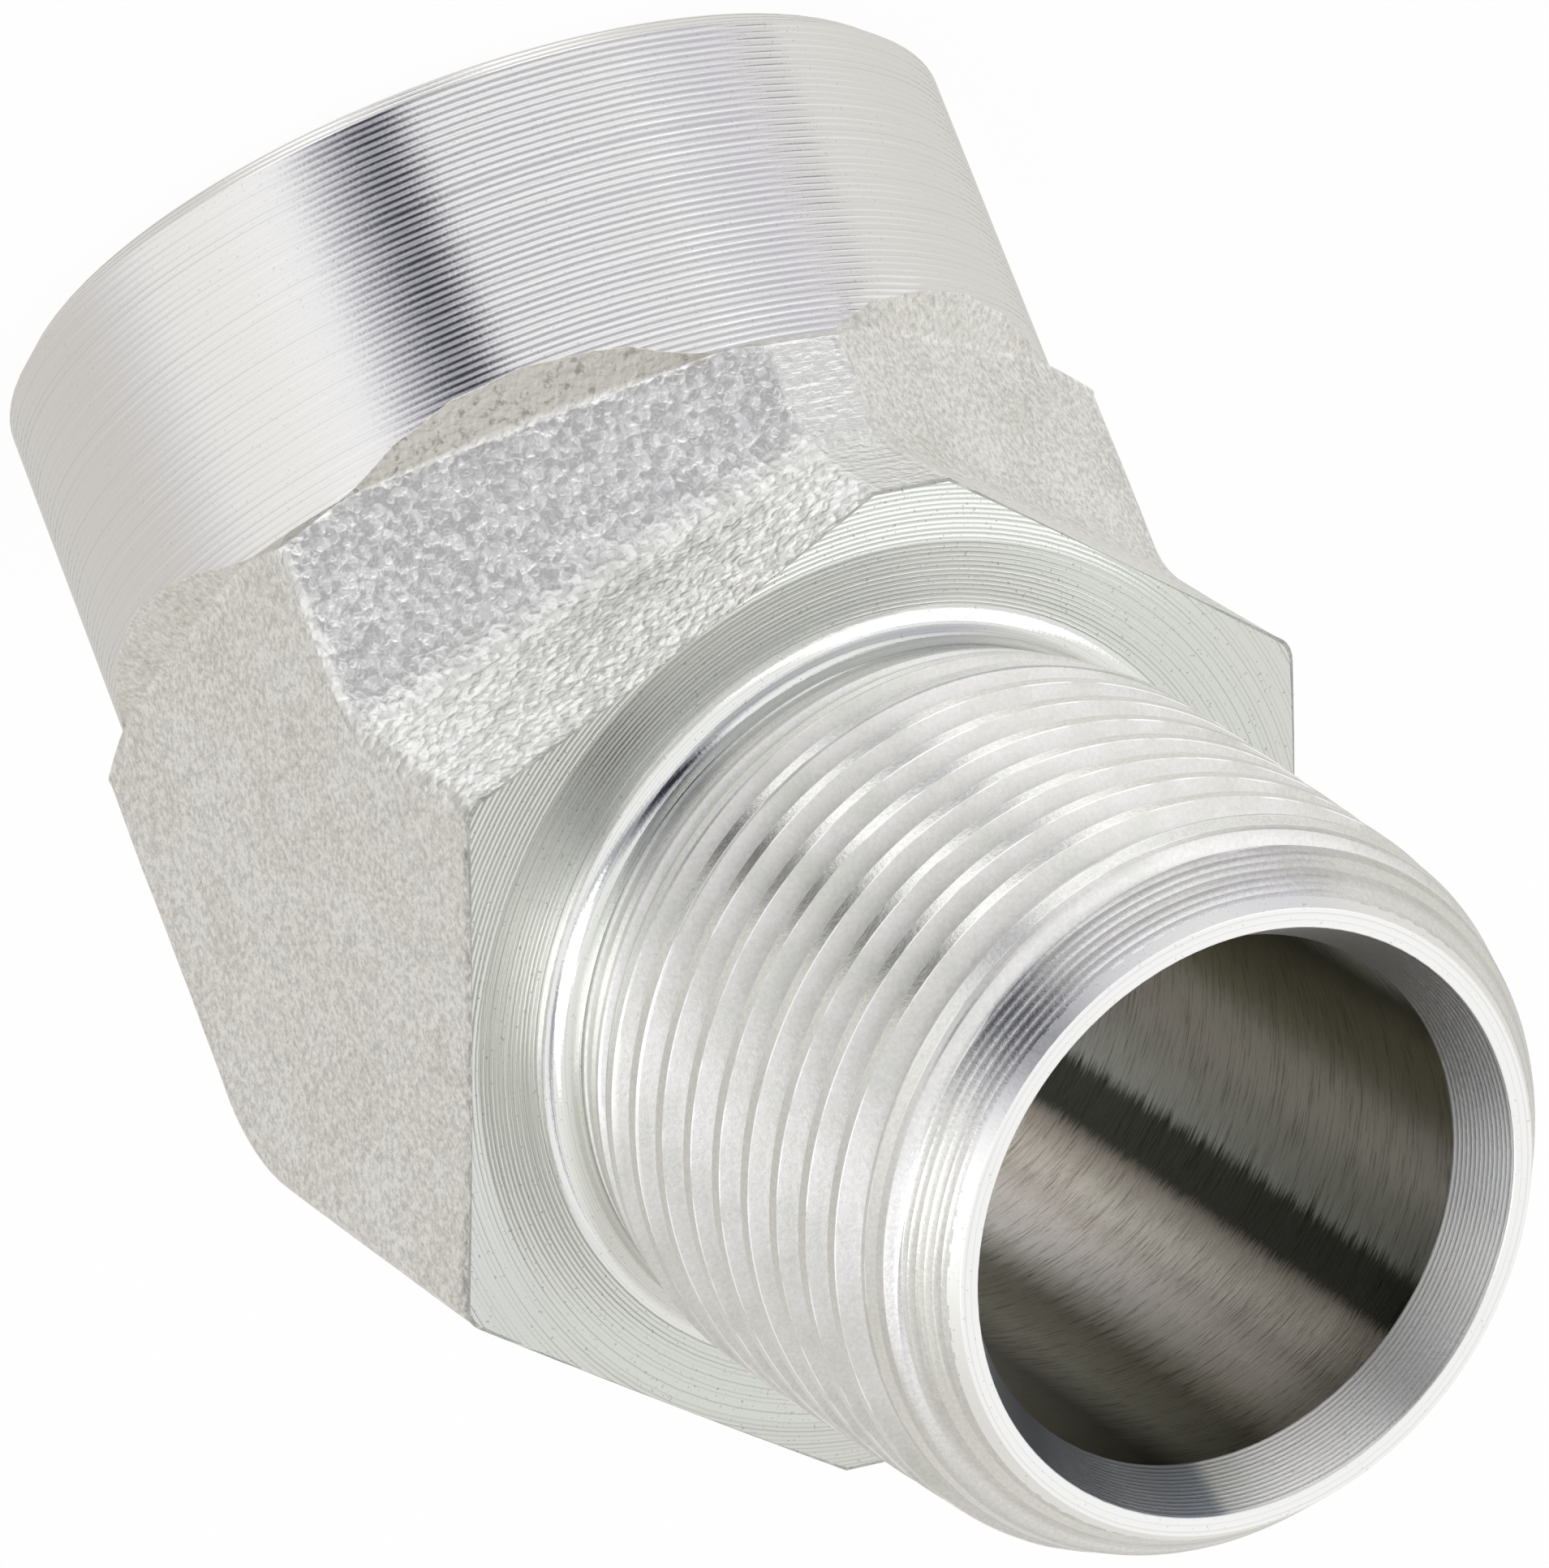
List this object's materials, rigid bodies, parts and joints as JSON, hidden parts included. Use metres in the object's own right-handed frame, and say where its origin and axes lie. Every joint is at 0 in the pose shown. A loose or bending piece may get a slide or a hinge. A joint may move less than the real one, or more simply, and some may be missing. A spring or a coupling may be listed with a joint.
{
  "type": "hydraulic elbow adapter",
  "caption": "Forged steel 45 degree street elbow: hexagonal body, round turned boss with a female pipe-thread port, male taper-thread shank with a conical seat.",
  "frame": {"origin": "centre of the female port's end face, on the port's axis", "axes": "+Z along the female port's axis into the body, +X towards the side the male end leans to, so the bend lies in the XZ plane and +Y is square to it"},
  "size_m": [0.0512, 0.035, 0.0578],
  "materials": {
    "plated_steel": "bright zinc-plated steel: forged faces matte, turned faces with fine feed marks"
  },
  "bodies": {
    "root": {"elbow_body": "plated_steel"}
  },
  "joints": []
}
